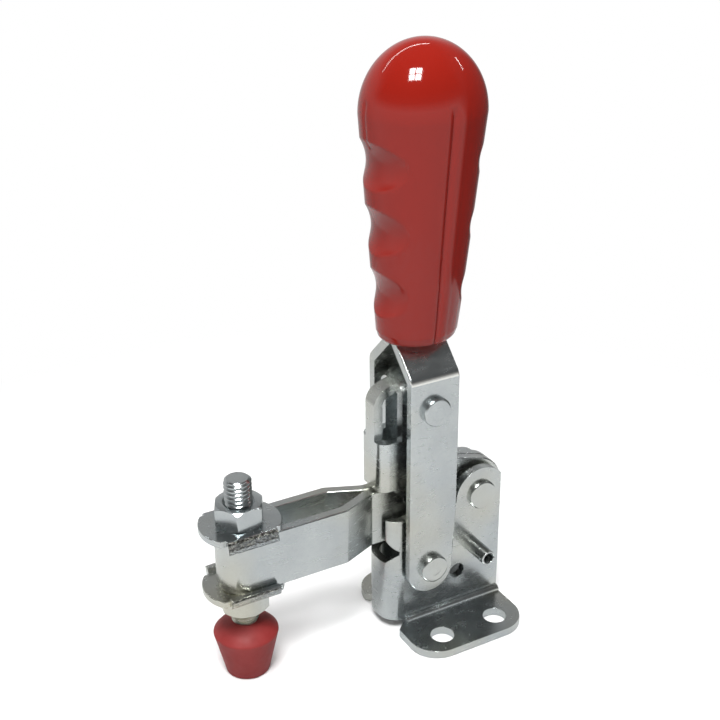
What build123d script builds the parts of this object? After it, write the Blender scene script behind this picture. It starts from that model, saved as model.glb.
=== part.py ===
"""Vertical toggle clamp with a flanged base, a U-shaped bar and an adjustable M8 spindle.

Millimetres. +X points from the base to the spindle, +Y to the clamp's left as seen
from behind the handle, +Z up. The origin is on the underside of the base, below the
middle plane of the bar and midway between the two rows of bolt holes.
"""
from build123d import *
from math import atan2, cos, radians, sin, sqrt, tan
import os

os.makedirs("parts", exist_ok=True)

# Fits between pieces
run_gap = 0.05          # a shaft in the hole that turns on it, on the radius
side_gap = 0.04         # between flat faces that slide on each other

# Pivots, as (x, z) in the middle plane
bar_pivot = (-11.0, 39.65)
handle_pivot = (9.1, 22.73)
handle_joint = (9.1, 75.3)
bar_joint = (8.6, 48.3)

# Base: one strip bent round a nose, with a foot turned out on each side
sheet = 2.5
wall_out = 7.3
wall_in = wall_out - sheet
base_rear = -18.1
nose_front = 21.7
nose_radius = 6.0
nose_foot = 3.0
wall_top = 39.2
tab_top = 38.4
ear_radius = 8.9
foot_front = 19.6
left_foot_edge = 26.2
right_foot_edge = 19.9
foot_corner = 9.0
foot_ease = 1.6
fold_radius = 1.7
bolt_pitch = 19.0
bolt_row = 18.9
bolt_hole = 7.2
drain_hole = 5.1
drain_place = (-2.9, 14.45)
mouth_low = 23.5
mouth_half = 4.3
mouth_tab = 31.4
mouth_side_low = 26.7
mouth_side_high = 27.9
mouth_side_half = 7.0
mouth_round = 0.55
mouth_corner = 2.4
ear_slope = 3.0

# Stop pin: a rolled spring pin through both walls
stop_place = (-7.75, 23.0)
stop_radius = 2.35
stop_wall = 0.65
stop_slit = 0.6
stop_reach = 9.85

# U-shaped bar: one strip on edge
bar_sheet = 3.0
bar_low = 30.34
bar_high = 48.06
leg_gap = 0.2
bow_out = 7.5
bow_in = bow_out - bar_sheet
neck = 24.9
taper_end = 35.3
bend_radius = 3.0
bar_lobe = 10.0
joint_lobe = 7.0
leg_out = leg_gap / 2 + bar_sheet

# Link: one channel that straddles the bar
link_sheet = 2.75
link_in = leg_out + 0.25
link_out = link_in + link_sheet
link_front = 23.56
link_low = 49.0
link_corner = 3.1
link_lobe = 8.0
roof_radius = 5.3
roof_centre = (18.25, 75.5)
roof_rise = 19.0
roof_end = 6.5
window_low = 64.7
window_rear = 16.4
rib_half = 2.54

# Handle arms and grip
arm_sheet = 2.75
arm_out = 11.9
arm_in = arm_out - arm_sheet
arm_front = 16.9
arm_rear = 1.0
arm_foot = 7.85
arm_foot_rear = 2.1
arm_waist = 41.0
bend_room = 1.94
arm_bend = handle_joint[1] + link_lobe + bend_room
arm_bend_radius = 0.8
arm_foot_drop = 0.8
arm_slope = 45.0
tang_top = 150.0
tang_gap = 0.2
tang_inset = 2.0
tang_step = 6.0
grip_gap = 0.05

# Grip, as (height, centre, radius) from its foot to the start of its dome
grip_stations = (
    (94.0, 8.25, 11.3),
    (102.0, 8.05, 12.1),
    (121.0, 7.7, 13.9),
    (140.0, 7.35, 15.6),
    (157.3, 6.95, 17.2),
)
grip_wide = 1.03
grip_thick = 0.90
grip_foot_round = 2.0
dome_steps = (22, 42, 60, 74, 84)
dome_rise = 1.11
scoop_levels = (109.0, 127.1, 145.1)
scoop_radius = 8.5
front_scoop = 1.4
rear_scoop = 0.8
scoop_flat = 1.25

# Rivets
shank_radius = 3.0
handle_head = (4.4, 2.0)
joint_head = (4.35, 2.0)
bar_head = (4.65, 1.4)
pin_head = (4.6, 1.6)
head_edge = 0.5
spacer_radius = 4.6
open_travel = (2.15, -4.85)

# Spindle, nuts and flanged washers
spindle_x = 65.14
spindle_radius = 4.0
spindle_top = 63.92
spindle_tip = 0.8
spindle_disc = (5.2, 2.4)
disc_low = 5.6
nut_flats = 13.0
nut_height = 6.5
nut_chamfer = 0.7
upper_nut_turn = 4.0
lower_nut_turn = 17.0
washer_sheet = 2.0
washer_radius = 11.7
lip_length = 15.0
lip_gap = 0.1
lip_start = bow_out + lip_gap
lip_spread = 0.6
lip_height = 1.4
lip_thin = 0.9
lip_round = 0.7

# Rubber tip
tip_top = 13.5
tip_top_radius = 9.47
tip_low_radius = 6.5
tip_round = 1.0
tip_edge = 0.7
crown_rise = 3.9
crown_bow = 0.45


def rivet(place, shank, spans, head, ends):
    """A rivet along Y: its shank from spans[0] to spans[1], with a head at each end."""
    head_radius, head_height = head
    with BuildPart() as made:
        with Locations((place[0], 0, place[1])):
            with Locations((0, (spans[0] + spans[1]) / 2, 0)):
                Cylinder(shank, spans[1] - spans[0], rotation=(90, 0, 0))
            for end, side in zip(spans, (-1, 1)):
                if side in ends:
                    with Locations((0, end + side * head_height / 2, 0)):
                        Cylinder(head_radius, head_height, rotation=(90, 0, 0))
        outer = made.edges().filter_by(GeomType.CIRCLE).group_by(Axis.Y)
        rims = []
        if -1 in ends:
            rims += outer[0]
        if 1 in ends:
            rims += outer[-1]
        fillet(rims, head_edge)
    return made.part


def spacers(place, inner, outer, bore, radius):
    """Two rings on one rivet, one on each side of the middle plane."""
    with BuildPart() as made:
        for side in (-1, 1):
            with Locations((place[0], side * (inner + outer) / 2, place[1])):
                Cylinder(radius, outer - inner, rotation=(90, 0, 0))
                Cylinder(bore, outer - inner, rotation=(90, 0, 0), mode=Mode.SUBTRACT)
    return made.part


def bore(place, radius, half):
    """Cut a hole along Y through everything within half of the middle plane."""
    with Locations((place[0], 0, place[1])):
        Cylinder(radius, 2 * half, rotation=(90, 0, 0), mode=Mode.SUBTRACT)


# ---------------------------------------------------------------- base
nose_start = nose_front - nose_radius
with BuildPart() as base:
    with BuildSketch() as plan:
        with BuildLine():
            Polyline(
                (base_rear, -wall_out),
                (nose_front, -wall_out),
                (nose_front, wall_out),
                (base_rear, wall_out),
                close=True,
            )
        make_face()
        fillet(plan.vertices().group_by(Axis.X)[-1], nose_radius)
    extrude(amount=wall_top + 2 * ear_radius)
    with BuildSketch() as hollow:
        with BuildLine():
            Polyline(
                (base_rear, -wall_in),
                (nose_front - sheet, -wall_in),
                (nose_front - sheet, wall_in),
                (base_rear, wall_in),
                close=True,
            )
        make_face()
        fillet(hollow.vertices().group_by(Axis.X)[-1], nose_radius - sheet)
    extrude(amount=wall_top + 2 * ear_radius, mode=Mode.SUBTRACT)
    # side outline with the ear round the bar's pivot
    with BuildSketch(Plane.XZ):
        with BuildLine():
            Polyline(
                (base_rear, 0),
                (nose_front, 0),
                (nose_front, tab_top),
                (nose_start, tab_top),
                (nose_start - ear_slope, wall_top),
                (base_rear, wall_top),
                close=True,
            )
        make_face()
        with Locations(bar_pivot):
            Circle(ear_radius)
    extrude(amount=wall_out, both=True, mode=Mode.INTERSECT)
    # the strip of the nose stops short of the ground
    with Locations((nose_start, 0, 0)):
        Box(2 * nose_radius, 2 * wall_out, nose_foot, align=(Align.MIN, Align.CENTER, Align.MIN),
            mode=Mode.SUBTRACT)
    # feet turned out along the walls
    for side, edge in ((1, left_foot_edge), (-1, right_foot_edge)):
        fold_y = side * (wall_out + fold_radius)
        with BuildSketch() as foot:
            with BuildLine():
                Polyline(
                    (base_rear, side * wall_out),
                    (nose_start, side * wall_out),
                    (foot_front - foot_ease, fold_y),
                    (foot_front, fold_y + side * foot_ease),
                    (foot_front, side * edge),
                    (base_rear, side * edge),
                    close=True,
                )
            make_face()
            fillet([v for v in foot.vertices() if abs(v.Y - side * edge) < 0.01], foot_corner)
        extrude(amount=sheet)
        with BuildSketch(Plane.YZ.offset(base_rear)):
            with BuildLine():
                Line((side * wall_out, sheet), (side * wall_out, sheet + fold_radius))
                RadiusArc((side * wall_out, sheet + fold_radius), (fold_y, sheet), side * fold_radius)
                Line((fold_y, sheet), (side * wall_out, sheet))
            make_face()
        extrude(amount=nose_start - base_rear)
    under = [e for e in base.edges().filter_by(Axis.X)
             if abs(abs(e.center().Y) - wall_in) < 0.01 and abs(e.center().Z) < 0.01]
    fillet(under, sheet)
    # mouth in the nose: a slot for the bar with a rounded notch below the tabs
    with BuildSketch(Plane.YZ.offset(nose_start - mouth_half)) as mouth:
        with BuildLine():
            Polyline(
                (-mouth_half, wall_top + ear_radius),
                (-mouth_half, mouth_tab),
                (-mouth_side_half, mouth_side_high),
                (-mouth_side_half, mouth_side_low),
                (-mouth_half, mouth_low),
                (mouth_half, mouth_low),
                (mouth_side_half, mouth_side_low),
                (mouth_side_half, mouth_side_high),
                (mouth_half, mouth_tab),
                (mouth_half, wall_top + ear_radius),
                close=True,
            )
        make_face()
        fillet([v for v in mouth.vertices() if abs(abs(v.Y) - mouth_side_half) < 0.01], mouth_round)
        fillet([v for v in mouth.vertices() if abs(v.Z - mouth_low) < 0.01], mouth_corner)
    extrude(amount=2 * nose_radius, mode=Mode.SUBTRACT)
    # holes
    bore(bar_pivot, shank_radius, wall_out + sheet)
    bore(handle_pivot, shank_radius, wall_out + sheet)
    bore(drain_place, drain_hole / 2, wall_out + sheet)
    bore(stop_place, stop_radius, wall_out + sheet)
    with Locations((0, bolt_row, 0)):
        with GridLocations(bolt_pitch, 0, 2, 1):
            Cylinder(bolt_hole / 2, 4 * sheet, mode=Mode.SUBTRACT)
base.part.label = "base"
export_step(base.part, "parts/base.step")

# ---------------------------------------------------------------- stop pin
with BuildPart() as stop_pin:
    stop_length = 2 * wall_out + stop_reach
    with Locations((stop_place[0], stop_reach / 2, stop_place[1])):
        Cylinder(stop_radius, stop_length, rotation=(90, 0, 0))
        Cylinder(stop_radius - stop_wall, stop_length, rotation=(90, 0, 0), mode=Mode.SUBTRACT)
        with Locations((-stop_radius, 0, 0)):
            Box(2 * stop_radius, stop_length, stop_slit, mode=Mode.SUBTRACT)
stop_pin.part.label = "stop_pin"
export_step(stop_pin.part, "parts/stop_pin.step")

# ---------------------------------------------------------------- rivets and spacers
bar_rivet = rivet(bar_pivot, shank_radius, (-wall_out, wall_out), bar_head, (-1, 1))
bar_rivet.label = "bar_pivot_rivet"
export_step(bar_rivet, "parts/bar_pivot_rivet.step")

bar_spacers = spacers(bar_pivot, leg_out + side_gap, wall_in, shank_radius, spacer_radius)
bar_spacers.label = "bar_pivot_spacers"
export_step(bar_spacers, "parts/bar_pivot_spacers.step")

handle_reach = arm_out + side_gap
handle_rivet = rivet(handle_pivot, shank_radius, (-handle_reach, handle_reach), handle_head, (-1, 1))
handle_rivet.label = "handle_pivot_rivet"
export_step(handle_rivet, "parts/handle_pivot_rivet.step")

handle_washers = spacers(handle_pivot, wall_out, arm_in - side_gap, shank_radius, spacer_radius)
handle_washers.label = "handle_pivot_washers"
export_step(handle_washers, "parts/handle_pivot_washers.step")

joint_rivet = rivet(handle_joint, shank_radius, (-arm_out, arm_out), joint_head, (-1, 1))
joint_rivet.label = "handle_link_rivet"
export_step(joint_rivet, "parts/handle_link_rivet.step")

joint_spacers = spacers(handle_joint, link_out + side_gap, arm_in, shank_radius, spacer_radius)
joint_spacers.label = "handle_link_spacers"
export_step(joint_spacers, "parts/handle_link_spacers.step")

link_pin = rivet(bar_joint, shank_radius, (-link_out, link_out), pin_head, (-1, 1))
link_pin.label = "link_bar_pin"
export_step(link_pin, "parts/link_bar_pin.step")

# ---------------------------------------------------------------- link
rise = radians(roof_rise)
with BuildPart() as toggle_link:
    # side outline of the channel, from the foot up the front and back over the roof
    crown = (roof_centre[0] + roof_radius * sin(rise), roof_centre[1] + roof_radius * cos(rise))
    roof_back = (roof_end, crown[1] + (crown[0] - roof_end) * tan(rise))
    knee = (bar_joint[0] + joint_lobe * sin(radians(45)), bar_joint[1] - joint_lobe * sin(radians(45)))
    heel = (knee[0] + link_low - knee[1], link_low)
    with BuildSketch(Plane.XZ):
        with BuildLine():
            Line(handle_joint, (bar_joint[0], bar_joint[1]))
            Line(bar_joint, knee)
            Line(knee, heel)
            Line(heel, (link_front, link_low))
            Line((link_front, link_low), (link_front, roof_centre[1]))
            RadiusArc((link_front, roof_centre[1]), crown, -roof_radius)
            Line(crown, roof_back)
            Line(roof_back, (roof_end, handle_joint[1]))
            Line((roof_end, handle_joint[1]), handle_joint)
        make_face()
    extrude(amount=link_out, both=True)
    spine = [e for e in toggle_link.edges()
             if abs(abs(e.center().Y) - link_out) < 0.01 and
             (abs(e.center().X - link_front) < 0.01 or e.center().Z > roof_centre[1] + 1 and
              e.center().X > roof_end + 0.5)]
    fillet(spine, link_corner)
    with BuildSketch(Plane.XZ):
        with Locations(handle_joint):
            Circle(link_lobe)
        with Locations(bar_joint):
            Circle(joint_lobe)
        make_hull()
    extrude(amount=link_out, both=True)
    # inside of the channel, open behind and below
    inner_radius = roof_radius - link_sheet
    inner_crown = (roof_centre[0] + inner_radius * sin(rise), roof_centre[1] + inner_radius * cos(rise))
    inner_back = (-link_lobe, inner_crown[1] + (inner_crown[0] + link_lobe) * tan(rise))
    with BuildSketch(Plane.XZ):
        with BuildLine():
            Line((-link_lobe, 0), (link_front - link_sheet, 0))
            Line((link_front - link_sheet, 0), (link_front - link_sheet, roof_centre[1]))
            RadiusArc((link_front - link_sheet, roof_centre[1]), inner_crown, -inner_radius)
            Line(inner_crown, inner_back)
            Line(inner_back, (-link_lobe, 0))
        make_face()
    extrude(amount=link_in, both=True, mode=Mode.SUBTRACT)
    # windows in both flanges, which leave a rib in the middle
    for side in (-1, 1):
        with Locations((window_rear, side * (rib_half + link_out) / 2, window_low)):
            Box(link_front, link_out - rib_half, link_front * 2,
                align=(Align.MIN, Align.CENTER, Align.MIN), mode=Mode.SUBTRACT)
    bore(handle_joint, shank_radius + run_gap, 2 * link_out)
    bore(bar_joint, shank_radius, 2 * link_out)
toggle_link.part.label = "toggle_link"
export_step(toggle_link.part, "parts/toggle_link.step")

# ---------------------------------------------------------------- bar
taper = atan2(bow_out - leg_out, taper_end - neck)
inner_neck = neck + (bar_sheet - bar_sheet * cos(taper)) / sin(taper)
inner_taper_end = taper_end + (bar_sheet - bar_sheet * cos(taper)) / sin(taper)
bar_rear = bar_pivot[0] - bar_lobe
with BuildPart() as u_bar:
    with BuildSketch() as plan:
        with BuildLine():
            Polyline((spindle_x, bow_out), (taper_end, bow_out), (neck, leg_out), (bar_rear, leg_out))
            Line((bar_rear, leg_out), (bar_rear, -leg_out))
            Polyline((bar_rear, -leg_out), (neck, -leg_out), (taper_end, -bow_out), (spindle_x, -bow_out))
            RadiusArc((spindle_x, -bow_out), (spindle_x, bow_out), -bow_out)
        make_face()
        fillet([v for v in plan.vertices() if neck - 1 < v.X < taper_end + 1], bend_radius)
    extrude(amount=bar_joint[1] + joint_lobe)
    with BuildSketch() as slot:
        with BuildLine():
            Polyline((spindle_x, bow_in), (inner_taper_end, bow_in), (inner_neck, leg_gap / 2),
                     (bar_rear, leg_gap / 2))
            Line((bar_rear, leg_gap / 2), (bar_rear, -leg_gap / 2))
            Polyline((bar_rear, -leg_gap / 2), (inner_neck, -leg_gap / 2),
                     (inner_taper_end, -bow_in), (spindle_x, -bow_in))
            RadiusArc((spindle_x, -bow_in), (spindle_x, bow_in), -bow_in)
        make_face()
        fillet([v for v in slot.vertices() if neck - 1 < v.X < inner_taper_end + 1], bend_radius)
    extrude(amount=bar_joint[1] + joint_lobe, mode=Mode.SUBTRACT)
    # side outline: straight arm, a shoulder over the link's pin and a lobe round the pivot
    shoulder = (bar_joint[0] + joint_lobe * sin(radians(45)), bar_joint[1] + joint_lobe * sin(radians(45)))
    with BuildSketch(mode=Mode.PRIVATE) as bar_lobes:
        with Locations(bar_pivot):
            Circle(bar_lobe)
        with Locations(bar_joint):
            Circle(joint_lobe)
        make_hull()
    with BuildSketch(Plane.XZ):
        with BuildLine():
            Polyline(
                (spindle_x + bow_out, bar_low),
                (bar_pivot[0], bar_low),
                bar_pivot,
                bar_joint,
                shoulder,
                (shoulder[0] + shoulder[1] - bar_high, bar_high),
                (spindle_x + bow_out, bar_high),
                close=True,
            )
        make_face()
        add(bar_lobes.sketch_local)
    extrude(amount=2 * bow_out, both=True, mode=Mode.INTERSECT)
    bore(bar_pivot, shank_radius + run_gap, 2 * leg_out)
    # slot that lets the link's pin shift while the clamp opens
    with BuildSketch(Plane.XZ):
        with Locations(bar_joint):
            Circle(shank_radius + 2 * run_gap)
        with Locations((bar_joint[0] + open_travel[0], bar_joint[1] + open_travel[1])):
            Circle(shank_radius + 2 * run_gap)
        make_hull()
    extrude(amount=2 * leg_out, both=True, mode=Mode.SUBTRACT)
u_bar.part.label = "u_bar"
export_step(u_bar.part, "parts/u_bar.step")

# ---------------------------------------------------------------- handle arms
slope = radians(arm_slope)
tang_out = tang_gap / 2 + arm_sheet
tang_low = arm_bend + (arm_out - tang_out) / tan(slope)
shift = arm_sheet * tan(slope / 2)
for side, name in ((1, "left_handle_arm"), (-1, "right_handle_arm")):
    with BuildPart() as arm:
        with BuildSketch(Plane.YZ.offset(arm_rear)) as profile:
            with BuildLine():
                Polyline(
                    (side * arm_out, 0),
                    (side * arm_out, arm_bend),
                    (side * tang_out, tang_low),
                    (side * tang_out, tang_top),
                    (side * tang_gap / 2, tang_top),
                    (side * tang_gap / 2, tang_low - shift),
                    (side * arm_in, arm_bend - shift),
                    (side * arm_in, 0),
                    close=True,
                )
            make_face()
            fillet([v for v in profile.vertices() if abs(v.Y - arm_bend) < 0.01], arm_bend_radius + arm_sheet)
            fillet([v for v in profile.vertices() if abs(v.Y - arm_bend + shift) < 0.01], arm_bend_radius)
        extrude(amount=arm_front - arm_rear)
        with BuildSketch(Plane.XZ):
            with BuildLine():
                Line((arm_front, handle_pivot[1]), (arm_front, tang_low))
                Polyline((arm_front, tang_low), (arm_front - tang_inset, tang_low + tang_step),
                         (arm_front - tang_inset, tang_top), (arm_rear + tang_inset, tang_top),
                         (arm_rear + tang_inset, tang_low + tang_step), (arm_rear, tang_low))
                Polyline((arm_rear, tang_low), (arm_rear, arm_waist), (arm_foot_rear, handle_pivot[1]))
                ThreePointArc((arm_foot_rear, handle_pivot[1]),
                              ((arm_foot_rear + arm_front) / 2, handle_pivot[1] - arm_foot - arm_foot_drop),
                              (arm_front, handle_pivot[1]))
            make_face()
        extrude(amount=arm_out, both=True, mode=Mode.INTERSECT)
        bore(handle_pivot, shank_radius + run_gap, 2 * arm_out)
        bore(handle_joint, shank_radius, 2 * arm_out)
    arm.part.label = name
    export_step(arm.part, f"parts/{name}.step")

# ---------------------------------------------------------------- grip
def grip_size(level):
    """Centre and radius of the grip at a height, between its stations."""
    for (z0, c0, r0), (z1, c1, r1) in zip(grip_stations, grip_stations[1:]):
        if z0 <= level <= z1:
            part_way = (level - z0) / (z1 - z0)
            return c0 + part_way * (c1 - c0), r0 + part_way * (r1 - r0)
    return grip_stations[-1][1], grip_stations[-1][2]


with BuildPart() as handle_grip:
    for level, centre, radius in grip_stations:
        with BuildSketch(Plane.XY.offset(level)):
            with Locations((centre, 0)):
                Ellipse(radius * grip_wide, radius * grip_thick)
    loft()
    top_level, top_centre, top_radius = grip_stations[-1]
    with BuildSketch(Plane.XY.offset(top_level)):
        with Locations((top_centre, 0)):
            Ellipse(top_radius * grip_wide, top_radius * grip_thick)
    for step in dome_steps:
        reach = top_radius * cos(radians(step))
        with BuildSketch(Plane.XY.offset(top_level + dome_rise * top_radius * sin(radians(step)))):
            with Locations((top_centre, 0)):
                Ellipse(reach * grip_wide, reach * grip_thick)
    loft()
    rim = handle_grip.edges().group_by(Axis.Z)[0]
    fillet(rim, grip_foot_round)
    # finger scoops in front and shallow ones behind
    for level in scoop_levels:
        centre, radius = grip_size(level)
        for side, depth in ((1, front_scoop), (-1, rear_scoop)):
            ring = radius * scoop_flat
            reach = radius * grip_wide - depth
            with Locations((centre + side * (reach - ring), 0, level)):
                Torus(ring + scoop_radius, scoop_radius, mode=Mode.SUBTRACT)
    # pocket for the two tangs
    pocket = tang_out + grip_gap
    with BuildSketch(Plane.YZ.offset(arm_rear - grip_gap)):
        with BuildLine():
            Polyline(
                (arm_out + grip_gap * 2, arm_bend),
                (pocket, tang_low + grip_gap / 2),
                (pocket, tang_top + grip_gap),
                (-pocket, tang_top + grip_gap),
                (-pocket, tang_low + grip_gap / 2),
                (-arm_out - grip_gap * 2, arm_bend),
                close=True,
            )
        make_face()
    extrude(amount=arm_front - arm_rear + 2 * grip_gap, mode=Mode.SUBTRACT)
handle_grip.part.label = "handle_grip"
export_step(handle_grip.part, "parts/handle_grip.step")

# ---------------------------------------------------------------- flanged washers
upper_seat = bar_high + side_gap
lower_seat = bar_low - side_gap
lip_edge = washer_sheet * lip_thin
for seat, way, name in ((upper_seat, 1, "upper_flanged_washer"), (lower_seat, -1, "lower_flanged_washer")):
    with BuildPart() as washer:
        with BuildSketch(Plane.XY.offset(seat)) as disc:
            with Locations((spindle_x, 0)):
                Circle(washer_radius)
                Rectangle(3 * washer_radius, 2 * lip_start, mode=Mode.INTERSECT)
        extrude(amount=way * washer_sheet)
        for side in (-1, 1):
            with BuildSketch(Plane.YZ.offset(spindle_x - lip_length / 2)):
                with BuildLine():
                    Polyline(
                        (side * (lip_start - washer_sheet), seat),
                        (side * lip_start, seat),
                        (side * (lip_start + lip_spread), seat - way * lip_height),
                        (side * (lip_start + lip_spread + lip_edge), seat - way * lip_height),
                        (side * (lip_start + lip_edge), seat + way * (washer_sheet - lip_round)),
                        (side * (lip_start + lip_edge - lip_round), seat + way * washer_sheet),
                        (side * (lip_start - washer_sheet), seat + way * washer_sheet),
                        close=True,
                    )
                make_face()
            extrude(amount=lip_length)
        with Locations((spindle_x, 0, seat)):
            Cylinder(spindle_radius + run_gap, 4 * washer_sheet, mode=Mode.SUBTRACT)
    washer.part.label = name
    export_step(washer.part, f"parts/{name}.step")

# ---------------------------------------------------------------- nuts
nut_corner = nut_flats / sqrt(3)
for low, turn, name in (
    (upper_seat + washer_sheet, upper_nut_turn, "upper_nut"),
    (lower_seat - washer_sheet - nut_height, lower_nut_turn, "lower_nut"),
):
    with BuildPart() as nut:
        with BuildSketch(Plane.XY.offset(low)):
            with Locations((spindle_x, 0)):
                RegularPolygon(nut_corner, 6, rotation=turn)
        extrude(amount=nut_height)
        flat_edge = spindle_x + nut_flats / 2 - 0.1
        corner_edge = spindle_x + nut_corner + 0.1
        with BuildSketch(Plane.XZ):
            with BuildLine():
                Polyline(
                    (spindle_x, low),
                    (flat_edge, low),
                    (corner_edge, low + nut_chamfer),
                    (corner_edge, low + nut_height - nut_chamfer),
                    (flat_edge, low + nut_height),
                    (spindle_x, low + nut_height),
                    close=True,
                )
            make_face()
        revolve(axis=Axis((spindle_x, 0, 0), (0, 0, 1)), mode=Mode.INTERSECT)
        with Locations((spindle_x, 0, low + nut_height / 2)):
            Cylinder(spindle_radius + run_gap, 2 * nut_height, mode=Mode.SUBTRACT)
    nut.part.label = name
    export_step(nut.part, f"parts/{name}.step")

# ---------------------------------------------------------------- spindle
disc_radius, disc_height = spindle_disc
with BuildPart() as spindle:
    with Locations((spindle_x, 0, disc_low)):
        Cylinder(disc_radius, disc_height, align=(Align.CENTER, Align.CENTER, Align.MIN))
        Cylinder(spindle_radius, spindle_top - disc_low, align=(Align.CENTER, Align.CENTER, Align.MIN))
    chamfer(spindle.edges().group_by(Axis.Z)[-1], spindle_tip)
spindle.part.label = "spindle"
export_step(spindle.part, "parts/spindle.step")

# ---------------------------------------------------------------- rubber tip
with BuildPart() as rubber_tip:
    with BuildSketch(Plane.XZ):
        with BuildLine():
            Polyline((spindle_x, 0), (spindle_x + tip_low_radius, 0), (spindle_x + tip_top_radius, tip_top))
            ThreePointArc(
                (spindle_x + tip_top_radius, tip_top),
                (spindle_x + (tip_top_radius + spindle_radius) / 2, tip_top + crown_rise / 2 + crown_bow),
                (spindle_x + spindle_radius, tip_top + crown_rise),
            )
            Polyline((spindle_x + spindle_radius, tip_top + crown_rise), (spindle_x, tip_top + crown_rise),
                     (spindle_x, 0))
        make_face()
    revolve(axis=Axis((spindle_x, 0, 0), (0, 0, 1)))
    fillet(rubber_tip.edges().group_by(Axis.Z)[0], tip_round)
    shoulder_rim = [e for e in rubber_tip.edges().filter_by(GeomType.CIRCLE)
                    if abs(e.radius - tip_top_radius) < 0.01]
    fillet(shoulder_rim, tip_edge)
    with Locations((spindle_x, 0, disc_low)):
        Cylinder(disc_radius, disc_height, align=(Align.CENTER, Align.CENTER, Align.MIN),
                 mode=Mode.SUBTRACT)
        Cylinder(spindle_radius, tip_top + crown_rise, align=(Align.CENTER, Align.CENTER, Align.MIN),
                 mode=Mode.SUBTRACT)
rubber_tip.part.label = "rubber_tip"
export_step(rubber_tip.part, "parts/rubber_tip.step")
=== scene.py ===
import math

import bpy
from mathutils import Matrix, Vector


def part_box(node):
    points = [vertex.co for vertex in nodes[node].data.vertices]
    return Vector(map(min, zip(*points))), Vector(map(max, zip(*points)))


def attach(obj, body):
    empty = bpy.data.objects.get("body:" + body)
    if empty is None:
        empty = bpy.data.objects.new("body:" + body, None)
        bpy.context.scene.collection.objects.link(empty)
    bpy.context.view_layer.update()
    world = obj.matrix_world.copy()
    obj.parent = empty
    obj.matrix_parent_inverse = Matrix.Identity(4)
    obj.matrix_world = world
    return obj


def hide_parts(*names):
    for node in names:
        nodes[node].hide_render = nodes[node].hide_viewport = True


mm = 0.001

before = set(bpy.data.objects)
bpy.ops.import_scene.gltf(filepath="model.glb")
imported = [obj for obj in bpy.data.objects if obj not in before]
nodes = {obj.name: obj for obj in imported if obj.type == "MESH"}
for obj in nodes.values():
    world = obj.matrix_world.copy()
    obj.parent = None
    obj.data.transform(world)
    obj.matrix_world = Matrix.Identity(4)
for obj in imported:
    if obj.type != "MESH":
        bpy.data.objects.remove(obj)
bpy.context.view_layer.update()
print("frame loaded")


# small helpers for edit mode

def clearSelection():
    if bpy.context.object and bpy.context.object.mode != "OBJECT":
        bpy.ops.object.mode_set(mode="OBJECT")
    bpy.ops.object.select_all(action="DESELECT")


def pickOnly(piece):
    clearSelection()
    piece.select_set(True)
    bpy.context.view_layer.objects.active = piece


def startEdit(piece, mode="FACE"):
    pickOnly(piece)
    bpy.ops.object.mode_set(mode="EDIT")
    bpy.ops.mesh.select_mode(type=mode)
    bpy.ops.mesh.select_all(action="DESELECT")
    bpy.ops.object.mode_set(mode="OBJECT")


def backToEdit():
    bpy.ops.object.mode_set(mode="EDIT")


def backToObject():
    bpy.ops.object.mode_set(mode="OBJECT")


def placeInMesh(piece):
    pickOnly(piece)
    bpy.ops.object.transform_apply(location=True, rotation=True, scale=True)


def applyModifiers(piece):
    pickOnly(piece)
    for modifier in list(piece.modifiers):
        bpy.ops.object.modifier_apply(modifier=modifier.name)


def editAll(piece):
    startEdit(piece, "VERT")
    backToEdit()
    bpy.ops.mesh.select_all(action="SELECT")


def smoothUpTo(piece, angle):
    pickOnly(piece)
    bpy.ops.object.shade_smooth_by_angle(angle=math.radians(angle))


def closeUp(piece, angle=35, gap=0.0008):
    # doubles merged, faces turned outwards, and shaded smooth up to the angle
    editAll(piece)
    bpy.ops.mesh.remove_doubles(threshold=gap * mm)
    bpy.ops.mesh.normals_make_consistent(inside=False)
    backToObject()
    smoothUpTo(piece, angle)


def carve(piece, cutter, operation="DIFFERENCE"):
    cut = piece.modifiers.new("carve", "BOOLEAN")
    cut.operation = operation
    cut.solver = "EXACT"
    cut.object = cutter
    applyModifiers(piece)
    bpy.data.objects.remove(cutter, do_unlink=True)


def singlePoint(name):
    # one point at the origin, selected in edit mode, for a profile to be drawn from
    clearSelection()
    bpy.ops.mesh.primitive_plane_add(size=1 * mm)
    piece = bpy.context.object
    piece.name = name
    backToEdit()
    bpy.ops.mesh.select_mode(type="VERT")
    bpy.ops.mesh.select_all(action="SELECT")
    bpy.ops.mesh.merge(type="CENTER")
    return piece


def turnedForm(name, profile, centre, axis, steps):
    # a profile of (radius, place along the axis) points, spun round the axis
    piece = singlePoint(name)
    middle = Vector(centre) * mm
    along = {"Y": Vector((0, 1, 0)), "Z": Vector((0, 0, 1))}[axis]
    out = Vector((1, 0, 0))
    places = [middle + (out * radius + along * level) * mm for radius, level in profile]
    bpy.ops.transform.translate(value=places[0])
    for before, after in zip(places, places[1:]):
        bpy.ops.mesh.extrude_region_move(TRANSFORM_OT_translate={"value": after - before})
    bpy.ops.mesh.select_all(action="SELECT")
    bpy.ops.mesh.spin(steps=steps, angle=2 * math.pi, center=middle, axis=along, use_auto_merge=False)
    backToObject()
    placeInMesh(piece)
    closeUp(piece)
    return piece


def giveFinish(piece, material):
    piece.data.materials.clear()
    piece.data.materials.append(material)
    for face in piece.data.polygons:
        face.material_index = 0


def dress(piece, name, body, node, material):
    piece.name = name
    piece.data.name = name
    giveFinish(piece, material)
    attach(piece, body)
    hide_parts(node)


# small helpers for materials

def newMaterial(name):
    material = bpy.data.materials.new(name)
    material.use_nodes = True
    tree = material.node_tree
    shader = tree.nodes["Principled BSDF"]
    coords = tree.nodes.new("ShaderNodeTexCoord")
    return material, tree, shader, coords.outputs["Object"]


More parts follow.
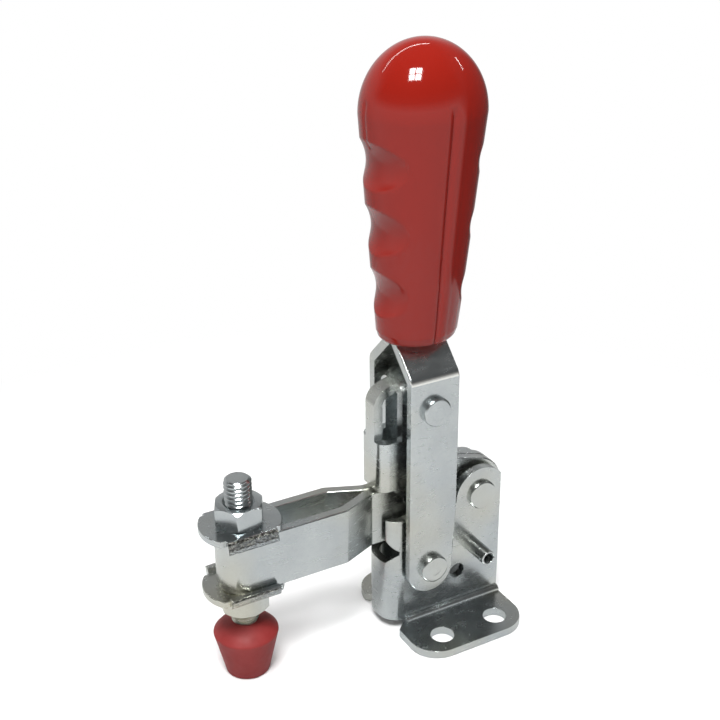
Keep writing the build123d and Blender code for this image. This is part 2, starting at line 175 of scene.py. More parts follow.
def noise(tree, place, scale, detail, roughness, stretch=(1, 1, 1)):
    mapping = tree.nodes.new("ShaderNodeMapping")
    mapping.inputs["Scale"].default_value = stretch
    tree.links.new(place, mapping.inputs["Vector"])
    texture = tree.nodes.new("ShaderNodeTexNoise")
    texture.inputs["Scale"].default_value = scale
    texture.inputs["Detail"].default_value = detail
    texture.inputs["Roughness"].default_value = roughness
    tree.links.new(mapping.outputs[0], texture.inputs["Vector"])
    return texture.outputs["Fac"]


def ramp(tree, value, stops):
    node = tree.nodes.new("ShaderNodeValToRGB")
    elements = node.color_ramp.elements
    while len(elements) < len(stops):
        elements.new(0.5)
    for element, (place, shade) in zip(elements, stops):
        element.position = place
        color = (shade, shade, shade) if isinstance(shade, (int, float)) else shade
        element.color = (*color, 1)
    tree.links.new(value, node.inputs["Fac"])
    return node.outputs["Color"]


def calc(tree, operation, first, second):
    node = tree.nodes.new("ShaderNodeMath")
    node.operation = operation
    for socket, value in zip(node.inputs, (first, second)):
        if isinstance(value, (int, float)):
            socket.default_value = value
        else:
            tree.links.new(value, socket)
    return node.outputs[0]


def blend(tree, factor, first, second, way="MIX"):
    node = tree.nodes.new("ShaderNodeMix")
    node.data_type = "RGBA"
    node.blend_type = way
    # a colour mix has its factor at input 0 and its two colours at 6 and 7
    for socket, value in ((node.inputs[0], factor), (node.inputs[6], first), (node.inputs[7], second)):
        if isinstance(value, (int, float)):
            socket.default_value = value
        elif isinstance(value, tuple):
            socket.default_value = (*value, 1)
        else:
            tree.links.new(value, socket)
    return node.outputs[2]


def bumped(tree, height, distance, strength, under=None):
    node = tree.nodes.new("ShaderNodeBump")
    node.inputs["Strength"].default_value = strength
    node.inputs["Distance"].default_value = distance
    tree.links.new(height, node.inputs["Height"])
    if under is not None:
        tree.links.new(under, node.inputs["Normal"])
    return node.outputs[0]


def axisParts(tree, place):
    split = tree.nodes.new("ShaderNodeSeparateXYZ")
    tree.links.new(place, split.inputs[0])
    return split.outputs


# zinc plated steel, bluish with a faint yellow cast

zincLook = {
    "cool": (0.47, 0.505, 0.515),
    "light": (0.60, 0.635, 0.635),
    "warm": (0.60, 0.58, 0.475),
    "cloud": (40, 5, 0.6),  # each noise has a scale, a detail and a roughness
    "cloudFade": ((0.34, 0.0), (0.66, 1.0)),
    "tint": (24, 3, 0.5),
    "tintFade": ((0.44, 0.0), (0.68, 0.8)),
    "speck": (1400, 2, 0.6),
    "speckFade": ((0.28, 0.95), (0.50, 1.0)),
    "streak": (260, 3, 0.6),
    "streakDepth": 0.000005,
    "streakStrength": 0.3,
    "wave": (90, 2, 0.5),
    "waveDepth": 0.00005,
    "waveStrength": 0.6,
    "roughLow": 0.15,
    "roughSpan": 0.20,
}


def zincMaterial(name, look, stretch=(1, 1, 1)):
    material, tree, shader, place = newMaterial(name)
    cloud = ramp(tree, noise(tree, place, *look["cloud"]), look["cloudFade"])
    base = blend(tree, cloud, look["cool"], look["light"])
    tint = ramp(tree, noise(tree, place, *look["tint"]), look["tintFade"])
    base = blend(tree, tint, base, look["warm"])
    speck = ramp(tree, noise(tree, place, *look["speck"]), look["speckFade"])
    base = blend(tree, 1.0, base, speck, "MULTIPLY")
    tree.links.new(base, shader.inputs["Base Color"])
    shader.inputs["Metallic"].default_value = 1.0
    streak = noise(tree, place, *look["streak"], stretch)
    rough = calc(tree, "MULTIPLY", streak, look["roughSpan"])
    tree.links.new(calc(tree, "ADD", rough, look["roughLow"]), shader.inputs["Roughness"])
    wave = bumped(tree, noise(tree, place, *look["wave"]), look["waveDepth"], look["waveStrength"])
    grain = bumped(tree, streak, look["streakDepth"], look["streakStrength"], wave)
    tree.links.new(grain, shader.inputs["Normal"])
    return material


zincSheet = zincMaterial("zincSheet", zincLook, (1, 1, 3))
zincBar = zincMaterial("zincBar", zincLook, (0.3, 1, 3))
zincTurned = zincMaterial("zincTurned", dict(zincLook, roughSpan=0.14))
# painted highlight: a much lighter, glossier zinc for the bright band along the arms' bend
bendHighlightLook = dict(zincLook, cool=(0.80, 0.81, 0.78), light=(0.92, 0.92, 0.88), roughLow=0.10, roughSpan=0.10)
zincBendHighlight = zincMaterial("zincBendHighlight", bendHighlightLook)
print("steel finishes ready")

shearPaintedShadeLook = {
    # painted shade and glints: near-black where the torn noise is low, near-white where it is high
    "shades": ((0.45, (0.02, 0.02, 0.02)), (0.56, (0.20, 0.20, 0.18)), (0.65, (0.95, 0.93, 0.82))),
    "tear": (1500, 5, 0.8),
    "stretch": (0.8, 1, 1.3),
    "depth": 0.0004,
    "roughness": 0.30,
}


def shearedPaintedShadeMaterial(look):
    # torn steel on the bent lips: the same noise bumps the surface and paints shade into its pits and glints
    # onto its broken crests
    material, tree, shader, place = newMaterial("zincShearedPaintedShade")
    torn = noise(tree, place, *look["tear"], look["stretch"])
    tree.links.new(ramp(tree, torn, look["shades"]), shader.inputs["Base Color"])
    shader.inputs["Metallic"].default_value = 1.0
    shader.inputs["Roughness"].default_value = look["roughness"]
    tree.links.new(bumped(tree, torn, look["depth"], 1.0), shader.inputs["Normal"])
    return material


zincShearedPaintedShade = shearedPaintedShadeMaterial(shearPaintedShadeLook)

# red grip plastic and rubber

gripFinish = {
    "deep": (0.215, 0.009, 0.0045),
    "bright": (0.26, 0.0115, 0.006),
    "cloud": (26, 3, 0.5),
    "smear": (150, 3, 0.5),
    "roughness": 0.03,
    "roughSpan": 0.08,
    "index": 1.46,
    "wave": (70, 2, 0.5),
    "waveDepth": 0.00004,
    "waveStrength": 0.3,
}
rubberFinish = {
    "deep": (0.24, 0.014, 0.013),
    "dusty": (0.31, 0.030, 0.028),
    "cloud": (110, 5, 0.6),
    "cloudFade": ((0.35, 0.0), (0.7, 1.0)),
    "smear": (500, 3, 0.5),
    "roughness": 0.50,
    "roughSpan": 0.2,
    "index": 1.5,
    "grain": (1300, 3, 0.6),
    "grainDepth": 0.00004,
    "grainStrength": 0.6,
}


def plasticMaterial(finish):
    material, tree, shader, place = newMaterial("redPlastic")
    cloud = noise(tree, place, *finish["cloud"])
    tree.links.new(blend(tree, cloud, finish["deep"], finish["bright"]), shader.inputs["Base Color"])
    dull = calc(tree, "MULTIPLY", noise(tree, place, *finish["smear"]), finish["roughSpan"])
    tree.links.new(calc(tree, "ADD", dull, finish["roughness"]), shader.inputs["Roughness"])
    shader.inputs["IOR"].default_value = finish["index"]
    wave = bumped(tree, noise(tree, place, *finish["wave"]), finish["waveDepth"], finish["waveStrength"])
    tree.links.new(wave, shader.inputs["Normal"])
    return material


def rubberMaterial(finish):
    material, tree, shader, place = newMaterial("redRubber")
    cloud = ramp(tree, noise(tree, place, *finish["cloud"]), finish["cloudFade"])
    tree.links.new(blend(tree, cloud, finish["deep"], finish["dusty"]), shader.inputs["Base Color"])
    dull = calc(tree, "MULTIPLY", noise(tree, place, *finish["smear"]), finish["roughSpan"])
    tree.links.new(calc(tree, "ADD", dull, finish["roughness"]), shader.inputs["Roughness"])
    shader.inputs["IOR"].default_value = finish["index"]
    grain = bumped(tree, noise(tree, place, *finish["grain"]), finish["grainDepth"], finish["grainStrength"])
    tree.links.new(grain, shader.inputs["Normal"])
    return material


redPlastic = plasticMaterial(gripFinish)
redRubber = rubberMaterial(rubberFinish)
print("plastic and rubber ready")

# every node of the frame gets its finish, also those that a finer piece replaces

nodeFinishes = {"handle_grip": redPlastic, "rubber_tip": redRubber, "u_bar": zincBar}

for name, node in nodes.items():
    giveFinish(node, nodeFinishes.get(name, zincSheet))

# pressed sheet pieces: the frame's shape with its sheared edges eased

sheetPieces = {  # name, body and how wide the edges are eased
    "base": ("pressedBase", "base", 0.32),
    "left_handle_arm": ("leftArm", "handle", 0.38),
    "right_handle_arm": ("rightArm", "handle", 0.38),
    "toggle_link": ("foldedLink", "link", 0.34),
    "u_bar": ("bentBar", "bar", 0.34),
    "stop_pin": ("rolledPin", "base", 0.15),
}
easing = {"flat": 0.6, "segments": 2, "edge": 40, "smooth": 38, "weight": 90}  # the angles are in degrees


def easedCopy(node, width):
    piece = nodes[node].copy()
    piece.data = nodes[node].data.copy()
    bpy.context.collection.objects.link(piece)
    piece.hide_render = False
    closeUp(piece)
    editAll(piece)
    bpy.ops.mesh.dissolve_limited(angle_limit=math.radians(easing["flat"]))
    backToObject()
    bevel = piece.modifiers.new("ease", "BEVEL")
    bevel.width = width * mm
    bevel.segments = easing["segments"]
    bevel.limit_method = "ANGLE"
    bevel.angle_limit = math.radians(easing["edge"])
    bevel.miter_outer = "MITER_ARC"
    applyModifiers(piece)
    smoothUpTo(piece, easing["smooth"])
    flatten = piece.modifiers.new("flatten", "WEIGHTED_NORMAL")
    flatten.weight = easing["weight"]
    flatten.keep_sharp = True
    applyModifiers(piece)
    return piece


# where the arms get their painted highlight: faces leaning between low and high, within the height span
bend = {"low": 8, "high": 30, "span": (82.5, 88.0)}  # the lean of its faces, in degrees, and its height

for node, (name, body, width) in sheetPieces.items():
    eased = easedCopy(node, width)
    dress(eased, name, body, node, zincBar if node == "u_bar" else zincSheet)
    if "arm" in node:  # the outside of the bend gets a painted highlight
        eased.data.materials.append(zincBendHighlight)
        for face in eased.data.polygons:
            lean = math.degrees(math.asin(max(-1, min(1, face.normal.z))))
            high = bend["span"][0] < face.center.z / mm < bend["span"][1]
            face.material_index = int(high and bend["low"] < lean < bend["high"])
    print(name, len(eased.data.polygons), "faces")

# rivets: turned heads with a crowned face and the ring that the setting tool leaves

rivets = {  # name, body, middle, reach to the sheet's outside, and the head's radius and height
    "bar_pivot_rivet": ("barPivotRivet", "base", (-11.0, 0, 39.65), 7.3, 4.65, 1.4),
    "handle_pivot_rivet": ("handlePivotRivet", "base", (9.1, 0, 22.73), 11.94, 4.4, 2.0),
    "handle_link_rivet": ("handleLinkRivet", "handle", (9.1, 0, 75.3), 11.9, 4.35, 2.0),
    "link_bar_pin": ("linkBarPin", "link", (8.6, 0, 48.3), 6.1, 4.6, 1.6),
}
headForm = {
    "shank": 3.0,
    "round": 0.75,
    "roundSteps": 6,
    "ring": 0.48,
    "ringShape": ((0.33, 0), (0.1155, 0.049), (-0.1155, 0.049), (-0.33, 0)),  # from its middle line, and down
    "crown": 0.06,
    "formedInset": 0.25,
    "formedHeight": 0.7,
    "steps": 72,
}


def headProfile(reach, radius, height):
    # from the shank out and round to the middle of the face
    form = headForm
    points = [(form["shank"], reach), (radius, reach)]
    for step in range(form["roundSteps"] + 1):
        turn = math.radians(90 * step / form["roundSteps"])
        points.append((radius - form["round"] + form["round"] * math.cos(turn),
                       reach + height - form["round"] + form["round"] * math.sin(turn)))
    ring = radius * form["ring"]
    top = reach + height
    for offset, drop in form["ringShape"]:
        points.append((ring + offset, top - drop + form["crown"] / 2))
    points.append((0, top + form["crown"]))
    return points


for node, (name, body, place, reach, radius, height) in rivets.items():
    head = headProfile(reach, radius, height)
    formed = headProfile(reach, radius - headForm["formedInset"], height * headForm["formedHeight"])
    profile = [(out, -level) for out, level in reversed(formed)] + head
    rivet = turnedForm(name, profile, place, "Y", headForm["steps"])
    dress(rivet, name, body, node, zincTurned)
print("rivets turned")

# handle grip: turned, leaned and flattened, then pressed with scoops and creases

grip = {  # heights, radii and depths in mm, turns and reaches round the grip in degrees
    "stations": (  # height, middle in x, radius
        (94.0, 8.25, 11.3),
        (102.0, 8.05, 12.1),
        (121.0, 7.7, 13.9),
        (140.0, 7.35, 15.6),
        (157.3, 6.95, 17.2),
    ),
    "wide": 1.03,
    "thick": 0.90,
    "footRings": (0, 3.0, 6.5),
    "foot": 2.2,
    "footSteps": 7,
    "domeStretch": 1.11,
    "domeTurn": 2,
    "rowHeight": 0.42,
    "steps": 144,
    "scoops": (109.0, 127.1, 145.1),
    "scoopHalf": 6.7,
    "scoopReach": 51,
    "scoopDepth": 1.9,
    "notchHalf": 5.4,
    "notchReach": 50,
    "notchDepth": 0.95,
    "rimBlend": 0.0006,
    "rimReach": -0.3,
    "creaseTop": 161.5,
    "creaseFade": 3.0,
    "creaseDepth": 0.95,
    "creaseHalf": 3.6,
    "lipWidth": 14,
    "lipHeight": 0.14,
    "frontCreaseLow": 149.5,
    "frontCreaseDepth": 0.4,
    "frontCreaseHalf": 3,
    "pole": 0.01,
}


def gripStation(level):
    stations = grip["stations"]
    for (z0, c0, r0), (z1, c1, r1) in zip(stations, stations[1:]):
        if level <= z1:
            share = max(0.0, (level - z0) / (z1 - z0))
            return c0 + share * (c1 - c0), r0 + share * (r1 - r0)
    return stations[-1][1], stations[-1][2]


def gripProfile():
    low = grip["stations"][0][0]
    top, radius = grip["stations"][-1][0], grip["stations"][-1][2]
    foot = grip["foot"]
    points = [(ring, low) for ring in grip["footRings"]]
    for step in range(grip["footSteps"] + 1):
        turn = math.radians(90 * step / grip["footSteps"])
        level = low + foot * (1 - math.cos(turn))
        points.append((gripStation(low)[1] - foot + foot * math.sin(turn), level))
    rows = int((top - low - foot) / grip["rowHeight"])
    for row in range(1, rows + 1):
        level = low + foot + (top - low - foot) * row / rows
        points.append((gripStation(level)[1], level))
    for degrees in range(grip["domeTurn"], 90, grip["domeTurn"]):
        turn = math.radians(degrees)
        points.append((radius * math.cos(turn), top + radius * grip["domeStretch"] * math.sin(turn)))
    points.append((0, top + radius * grip["domeStretch"]))
    return points


def pressed(level, turn):
    # how far the surface sinks at a height and a turn from the front, in degrees
    sink = 0.0
    for scoop in grip["scoops"]:
        for half, reach, depth, away in (
            (grip["scoopHalf"], grip["scoopReach"], grip["scoopDepth"], abs(turn)),
            (grip["notchHalf"], grip["notchReach"], grip["notchDepth"], 180 - abs(turn)),
        ):
            bowl = 1 - ((level - scoop) / half) ** 2 - (away / reach) ** 2
            if bowl > grip["rimReach"]:
                sink = max(sink, depth * (math.sqrt(bowl * bowl + grip["rimBlend"]) + bowl) / 2)
    for side in (90, -90):
        away = abs(turn - side)
        fade = min(1.0, max(0.0, (grip["creaseTop"] - level) / grip["creaseFade"]))
        if away < grip["creaseHalf"]:
            sink += fade * grip["creaseDepth"] * math.cos(away / grip["creaseHalf"] * math.pi / 2) ** 2
        behind = abs(turn) - 90 - grip["creaseHalf"]
        if 0 < behind < grip["lipWidth"]:
            sink -= fade * grip["lipHeight"] * math.sin(behind / grip["lipWidth"] * math.pi)
    if grip["frontCreaseLow"] < level < grip["creaseTop"] and abs(turn) < grip["frontCreaseHalf"]:
        sink += grip["frontCreaseDepth"] * math.cos(turn / grip["frontCreaseHalf"] * math.pi / 2) ** 2
    return sink


def moulded(place):
    # where a point of the turned blank lies on the finished grip
    level = place.z / mm
    centre = gripStation(level)[0]
    radius = math.hypot(place.x, place.y) / mm
    if radius < grip["pole"]:
        return Vector((centre * mm, 0, place.z))
    turn = math.atan2(place.y, place.x)
    radius -= pressed(level, math.degrees(turn))
    return Vector(((centre + radius * grip["wide"] * math.cos(turn)) * mm,
                   radius * grip["thick"] * math.sin(turn) * mm, place.z))


gripPiece = turnedForm("mouldedGrip", gripProfile(), (0, 0, 0), "Z", grip["steps"])
for vertex in gripPiece.data.vertices:
    vertex.co = moulded(vertex.co)
closeUp(gripPiece, angle=60)
dress(gripPiece, "mouldedGrip", "handle", "handle_grip", redPlastic)
print("grip moulded,", len(gripPiece.data.polygons), "faces")

# spindle with its M8 thread

spindle = {
    "x": 65.14,
    "top": 63.92,
    "low": 5.6,
    "crest": 3.96,
    "root": 3.30,
    "pitch": 1.25,
    "spareTurns": 2,
    "crestRound": 0.06,
    "rootFlat": 0.10,  # this and the next three are shares of the pitch
    "flank": 0.34,
    "crestStep": 0.06,
    "lastFlat": 0.04,
    "weld": 0.01,
    "cutWeld": 0.0001,
    "chamfer": 0.85,
    "blankRoom": 0.2,
    "steps": 64,
}


def threadedSpindle():
    low, top, pitch = spindle["low"], spindle["top"], spindle["pitch"]
    root, crest, spare = spindle["root"], spindle["crest"], spindle["spareTurns"]
    flank, rounding, rise = spindle["flank"], spindle["crestRound"], spindle["crestStep"]
    turns = int((top - low) / pitch) + 2 * spare
    piece = singlePoint("threadedSpindle")
    bpy.ops.transform.translate(value=(root * mm, 0, (low - spare * pitch) * mm))
    # one turn's outline: out along a flank, round the crest and back down to the root
    outline = ((0, spindle["rootFlat"]), (crest - root - rounding, flank), (rounding, rise), (0, rise),
               (-rounding, rise), (root - crest + rounding, flank), (0, spindle["lastFlat"]))
    for out, up in outline:
        bpy.ops.mesh.extrude_region_move(TRANSFORM_OT_translate={"value": (out * mm, 0, up * pitch * mm)})
    backToObject()
    placeInMesh(piece)
    screw = piece.modifiers.new("thread", "SCREW")
    screw.axis = "Z"
    screw.steps = spindle["steps"]
    screw.render_steps = spindle["steps"]
    screw.screw_offset = pitch * mm
    screw.iterations = turns
    screw.use_merge_vertices = True
    screw.merge_threshold = spindle["weld"] * mm
    screw.use_smooth_shade = True
    applyModifiers(piece)
    closeUp(piece, angle=30, gap=0.002)
    for level, keepAbove in ((low, True), (top, False)):
        editAll(piece)
        bpy.ops.mesh.bisect(plane_co=(0, 0, level * mm), plane_no=(0, 0, 1), use_fill=True,
                            threshold=spindle["cutWeld"] * mm,
                            clear_inner=keepAbove, clear_outer=not keepAbove)
        backToObject()
    pickOnly(piece)
    piece.location = (spindle["x"] * mm, 0, 0)
    placeInMesh(piece)
    # the turned blank gives the end its chamfer
    wide, cut = crest + spindle["blankRoom"], spindle["chamfer"]
    profile = ((0, low - 1), (wide, low - 1), (wide, top - cut), (crest - cut, top), (0, top))
    blank = turnedForm("blank", profile, (spindle["x"], 0, 0), "Z", spindle["steps"])
    carve(piece, blank, "INTERSECT")
    closeUp(piece, angle=32)
    return piece


spindlePiece = threadedSpindle()
dress(spindlePiece, "threadedSpindle", "spindle", "spindle", zincTurned)
print("spindle threaded,", len(spindlePiece.data.polygons), "faces")

# hex nuts with turned corners and countersunk bores

nut = {
    "x": spindle["x"],
    "flats": 13.0,
    "height": 6.5,
    "bore": 4.02,
    "sink": 4.55,
    "cornerRound": 0.22,
    "cornerSteps": 3,
    "cornerRoom": 0.05,
    "cut": 0.95,
    "faceInset": 0.15,
    "faceEdge": 0.1,
    "faceDrop": 0.06,
    "blankSteps": 96,
    "drillSteps": 64,
    "places": (("upperHexNut", "upper_nut", 4.0), ("lowerHexNut", "lower_nut", 17.0)),
}


def hexNut(low, turn):
    corner = nut["flats"] / math.sqrt(3)
    half = nut["flats"] / 2
    height = nut["height"]
    top = low + height
    middle = (nut["x"], 0, 0)
    clearSelection()
    # the cylinder has a corner on its y axis, so 30 degrees more bring a flat there
    bpy.ops.mesh.primitive_cylinder_add(vertices=6, radius=corner * mm, depth=height * mm,
                                        location=(nut["x"] * mm, 0, (low + height / 2) * mm),
                                        rotation=(0, 0, math.radians(turn + 30)))
    piece = bpy.context.object
    placeInMesh(piece)
    startEdit(piece, "EDGE")
    for edge in piece.data.edges:  # soften the six upright corners
        ends = [piece.data.vertices[i].co for i in edge.vertices]
        edge.select = abs(ends[0].z - ends[1].z) > 0.5 * height * mm
    backToEdit()
    bpy.ops.mesh.bevel(offset=nut["cornerRound"] * mm, segments=nut["cornerSteps"])
    backToObject()
    # a turned blank takes the corners off at both ends
    reach, inner, edge = corner + nut["cornerRoom"], half - nut["faceInset"], half + nut["faceEdge"]
    cut, drop = nut["cut"], nut["faceDrop"]
    lowerHalf = ((0, low), (inner, low), (edge, low + drop), (reach, low + cut))
    upperHalf = ((reach, top - cut), (edge, top - drop), (inner, top), (0, top))
    blank = turnedForm("blank", lowerHalf + upperHalf, middle, "Z", nut["blankSteps"])
    carve(piece, blank, "INTERSECT")
    bore, sink = nut["bore"], nut["sink"]
    lowerHalf = ((0, low - 1), (sink + 1, low - 1), (bore, low + sink - bore))
    upperHalf = ((bore, top - sink + bore), (sink + 1, top + 1), (0, top + 1))
    drill = turnedForm("drill", lowerHalf + upperHalf, middle, "Z", nut["drillSteps"])
    carve(piece, drill)
    closeUp(piece, angle=26)
    return piece


for name, node, turn in nut["places"]:
    nutPiece = hexNut(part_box(node)[0][2] / mm, turn)
    dress(nutPiece, name, "carrier", node, zincTurned)
print("nuts cut")

# rubber tip

tip = {
    "x": spindle["x"],
    "low": 6.5,
    "foot": 0.45,
    "footSteps": 5,
    "wide": 9.47,
    "rim": 13.5,
    "rimShape": ((0.12, -0.8), (0.03, -0.36), (0.10, -0.096), (0.36, 0.22)),  # in from the widest, and up
    "crown": 17.4,
    "crownSteps": 8,
    "bulge": 0.22,
    "neck": 4.0,
    "neckInset": 0.6,
    "neckDrop": 0.4,
    "steps": 96,
}


def tipProfile():
    low, foot, steps = tip["low"], tip["foot"], tip["footSteps"]
    points = [(0, 0), (low - foot, 0)]
    slope = math.atan2(tip["wide"] - low, tip["rim"])
    for step in range(1, steps + 1):
        turn = math.radians(90 * step / steps) - slope * step / steps
        points.append((low - foot + foot * math.sin(turn), foot * (1 - math.cos(turn))))
    for inset, rise in tip["rimShape"]:
        points.append((tip["wide"] - inset, tip["rim"] + rise))
    shoulder, start = points[-1]
    for step in range(1, tip["crownSteps"] + 1):  # from the shoulder up to the neck, slightly bulged
        share = step / tip["crownSteps"]
        bulged = share + tip["bulge"] * math.sin(math.pi * share) * (1 - share)
        points.append((shoulder - share * (shoulder - tip["neck"]), start + (tip["crown"] - start) * bulged))
    points.append((tip["neck"] - tip["neckInset"], tip["crown"] - tip["neckDrop"]))
    points.append((0, tip["crown"] - tip["neckDrop"]))
    return points


tipPiece = turnedForm("rubberTip", tipProfile(), (tip["x"], 0, 0), "Z", tip["steps"])
closeUp(tipPiece, angle=50)
dress(tipPiece, "rubberTip", "spindle", "rubber_tip", redRubber)
print("rubber tip turned")

# flanged washers: eased, with the torn faces of their lips broken up

lips = {
    "ease": 0.22,
    "outside": 9.0,
    "facing": 0.75,  # the least share of a face's normal along y
    "cuts": 34,
    "tear": 0.09,
    "tearSideways": 0.3,
    "tearOutwards": 0.7,
    "tearSeed": 4,
    "tornFacing": 0.6,
    "washers": (  # with the height that the torn face starts at
        ("upperFlangedWasher", "upper_flanged_washer", 47.6),
        ("lowerFlangedWasher", "lower_flanged_washer", 30.7),
    ),
}


def flangedWasher(node):
    piece = easedCopy(node, lips["ease"])
    startEdit(piece, "FACE")
    for face in piece.data.polygons:
        face.select = abs(face.normal.y) > lips["facing"] and abs(face.center.y) > lips["outside"] * mm
    backToEdit()
    bpy.ops.mesh.quads_convert_to_tris()
    bpy.ops.mesh.subdivide(number_cuts=lips["cuts"])
    bpy.ops.transform.vertex_random(offset=lips["tear"] * mm, uniform=lips["tearSideways"],
                                    normal=lips["tearOutwards"], seed=lips["tearSeed"])
    backToObject()
    smoothUpTo(piece, easing["smooth"])
    return piece


for name, node, tornFrom in lips["washers"]:
    washer = flangedWasher(node)
    dress(washer, name, "carrier", node, zincSheet)
    # the torn outer faces of the lips get the torn steel, with its painted shade in the pits and painted
    # glints on the crests
    washer.data.materials.append(zincShearedPaintedShade)
    for face in washer.data.polygons:
        outer = abs(face.center.y) > lips["outside"] * mm and abs(face.normal.y) > lips["tornFacing"]
        face.material_index = int(outer and face.center.z > tornFrom * mm)
    print(name, len(washer.data.polygons), "faces")

# floor, faded to white away from the clamp where the camera sees it

floorForm = {
    "sides": 128,
    "radius": 0.25,
    "place": (0.03, 0, -0.00015),
    "shade": 0.60,
    "seenShade": 0.97,
    "roughness": 0.9,
    "gloss": 0.1,
    "near": 0.13,
    "far": 0.235,
}


def floorMaterial():
    material, tree, shader, place = newMaterial("paleFloor")
    shader.inputs["Roughness"].default_value = floorForm["roughness"]
    shader.inputs["Specular IOR Level"].default_value = floorForm["gloss"]
    cameraRay = tree.nodes.new("ShaderNodeLightPath").outputs["Is Camera Ray"]
    dull = (floorForm["shade"],) * 3
    seen = (floorForm["seenShade"],) * 3
    tree.links.new(blend(tree, cameraRay, dull, seen), shader.inputs["Base Color"])
    length = tree.nodes.new("ShaderNodeVectorMath")
    length.operation = "LENGTH"
    tree.links.new(place, length.inputs[0])
    spread = tree.nodes.new("ShaderNodeMapRange")
    spread.interpolation_type = "SMOOTHSTEP"
    spread.inputs["From Min"].default_value = floorForm["near"]
    spread.inputs["From Max"].default_value = floorForm["far"]
    tree.links.new(length.outputs["Value"], spread.inputs["Value"])
    share = calc(tree, "MULTIPLY", spread.outputs["Result"], cameraRay)
    glow = tree.nodes.new("ShaderNodeEmission")
    mixer = tree.nodes.new("ShaderNodeMixShader")
    for source, socket in zip((share, shader.outputs[0], glow.outputs[0]), mixer.inputs):
        tree.links.new(source, socket)
    tree.links.new(mixer.outputs[0], tree.nodes["Material Output"].inputs["Surface"])
    return material


clearSelection()
bpy.ops.mesh.primitive_circle_add(vertices=floorForm["sides"], radius=floorForm["radius"],
                                  fill_type="NGON", location=floorForm["place"])
floor = bpy.context.object
floor.name = "floor"
floor.data.materials.append(floorMaterial())

# room: the camera sees white, and the steel reflects walls that darken upwards

room = {
    "behind": ((0.0, 0.55), (0.10, 0.62), (0.45, 0.55), (0.62, 0.26), (0.85, 0.12)),
    "ahead": ((0.0, 0.90), (0.05, 0.95), (0.27, 0.20), (0.45, 0.09), (0.85, 0.09)),
    "away": (-0.48, -0.88),  # the way past the clamp, in x and y
    "turnOver": ((0.40, 0.0), (0.62, 1.0)),
    "rearSide": 0.12,
    "rearEdge": ((0.62, 0.0), (0.86, 1.0)),
}


def lightRoom():
    world = bpy.data.worlds.new("studio")
    bpy.context.scene.world = world
    world.use_nodes = True
    tree = world.node_tree
    coords = tree.nodes.new("ShaderNodeTexCoord")
    heading = axisParts(tree, coords.outputs["Generated"])
    farAlongX = calc(tree, "MULTIPLY", heading[0], room["away"][0])
    farAlongY = calc(tree, "MULTIPLY", heading[1], room["away"][1])
    farSide = calc(tree, "MULTIPLY_ADD", calc(tree, "ADD", farAlongX, farAlongY), 0.5)
    ahead = ramp(tree, heading[2], room["ahead"])
    behind = ramp(tree, heading[2], room["behind"])
    shades = blend(tree, ramp(tree, farSide, room["turnOver"]), ahead, behind)
    rearSide = ramp(tree, calc(tree, "MULTIPLY", heading[0], -1.0), room["rearEdge"])
    shades = blend(tree, rearSide, shades, (room["rearSide"],) * 3)
    backdrop = tree.nodes["Background"]
    tree.links.new(shades, backdrop.inputs["Color"])
    white = tree.nodes.new("ShaderNodeBackground")
    white.inputs["Color"].default_value = (1, 1, 1, 1)
    cameraRay = tree.nodes.new("ShaderNodeLightPath").outputs["Is Camera Ray"]
    mixer = tree.nodes.new("ShaderNodeMixShader")
    for source, socket in zip((cameraRay, backdrop.outputs[0], white.outputs[0]), mixer.inputs):
        tree.links.new(source, socket)
    tree.links.new(mixer.outputs[0], tree.nodes["World Output"].inputs["Surface"])


lightRoom()

# lamps: a paned window light above, two broad fills and two thin tubes

target = Vector((0.02, 0, 0.09))  # what the lamps point at, in metres like their places
window = {"place": (0.22, 0.27, 0.71), "pane": 0.105, "gap": 0.016, "power": 1.4}
fills = {
    "overheadFill": {"place": (-0.05, -0.1, 1.5), "size": 1.3, "power": 12.0},
    "frontFill": {"place": (0.9, 0.9, 0.9), "size": 0.8, "power": 1.2},
}
tubeWidth = 0.014
tubes = {
    "ceilingTube": {"start": (0.70, -0.77, 0.90), "end": (-0.40, -0.42, 0.90), "power": 1.6},
    "rearTube": {"start": (-0.85, -0.06, 0.88), "end": (-1.20, 0.26, 0.88), "power": 0.8},
}


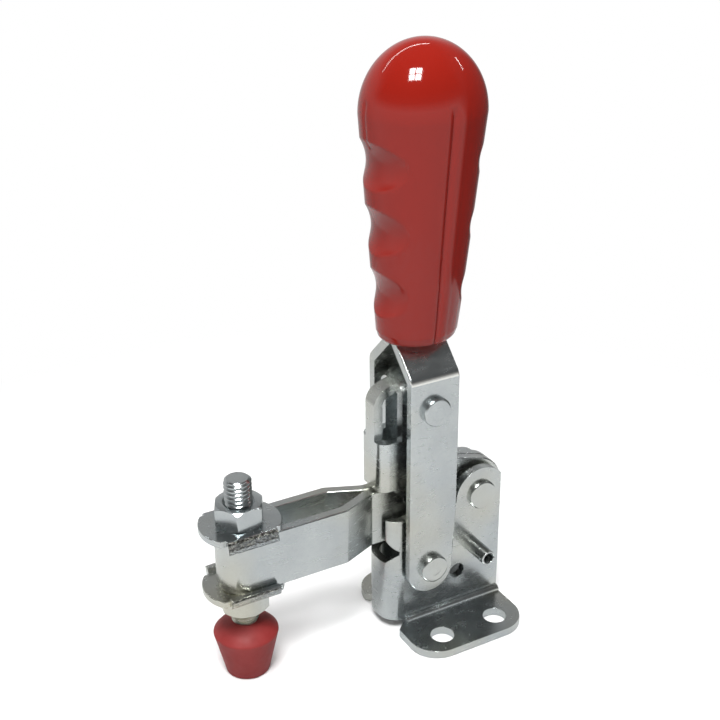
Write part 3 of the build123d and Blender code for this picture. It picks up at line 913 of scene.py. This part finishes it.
def newLamp(name, width, height, power):
    data = bpy.data.lights.new(name, "AREA")
    data.shape = "RECTANGLE"
    data.size = width
    data.size_y = height
    data.energy = power
    lamp = bpy.data.objects.new(name, data)
    bpy.context.collection.objects.link(lamp)
    return lamp


def squareLamp(name, place, size, power):
    lamp = newLamp(name, size, size, power)
    lamp.location = place
    lamp.rotation_euler = (target - Vector(place)).to_track_quat("-Z", "Y").to_euler()
    return lamp


def tubeLamp(name, start, end, power):
    first, last = Vector(start), Vector(end)
    lamp = newLamp(name, (last - first).length, tubeWidth, power)
    middle = (first + last) / 2
    along = (last - first).normalized()
    away = (middle - target).normalized()
    away = (away - along * away.dot(along)).normalized()
    side = away.cross(along)
    lamp.matrix_world = Matrix.Translation(middle) @ Matrix((along, side, away)).transposed().to_4x4()


for row in (-1, 1):
    for column in (-1, 1):
        step = (window["pane"] + window["gap"]) / 2
        pane = squareLamp(f"windowPane{row}{column}", window["place"], window["pane"], window["power"])
        pane.location += pane.rotation_euler.to_matrix() @ Vector((column * step, row * step, 0))
for name, fill in fills.items():
    squareLamp(name, fill["place"], fill["size"], fill["power"]).visible_glossy = False
for name, tube in tubes.items():
    tubeLamp(name, tube["start"], tube["end"], tube["power"])

# camera

shot = {
    "place": (171.43, 264.18, 230.19),
    "right": (-0.87464, 0.48469, -0.00931),  # this and the next two are the camera's own axes
    "up": (-0.21158, -0.36438, 0.90689),
    "back": (0.43617, 0.79517, 0.42126),
    "lens": 59.88,
    "sensor": 36,
    "clip": 0.01,
}
cameraData = bpy.data.cameras.new("camera")
cameraData.lens = shot["lens"]
cameraData.sensor_width = shot["sensor"]
cameraData.clip_start = shot["clip"]
camera = bpy.data.objects.new("camera", cameraData)
bpy.context.collection.objects.link(camera)
facing = Matrix((shot["right"], shot["up"], shot["back"])).transposed().to_4x4()
camera.matrix_world = Matrix.Translation(Vector(shot["place"]) * mm) @ facing
bpy.context.scene.camera = camera
bpy.context.scene.view_settings.view_transform = "Standard"
print("stage, lamps and camera set")
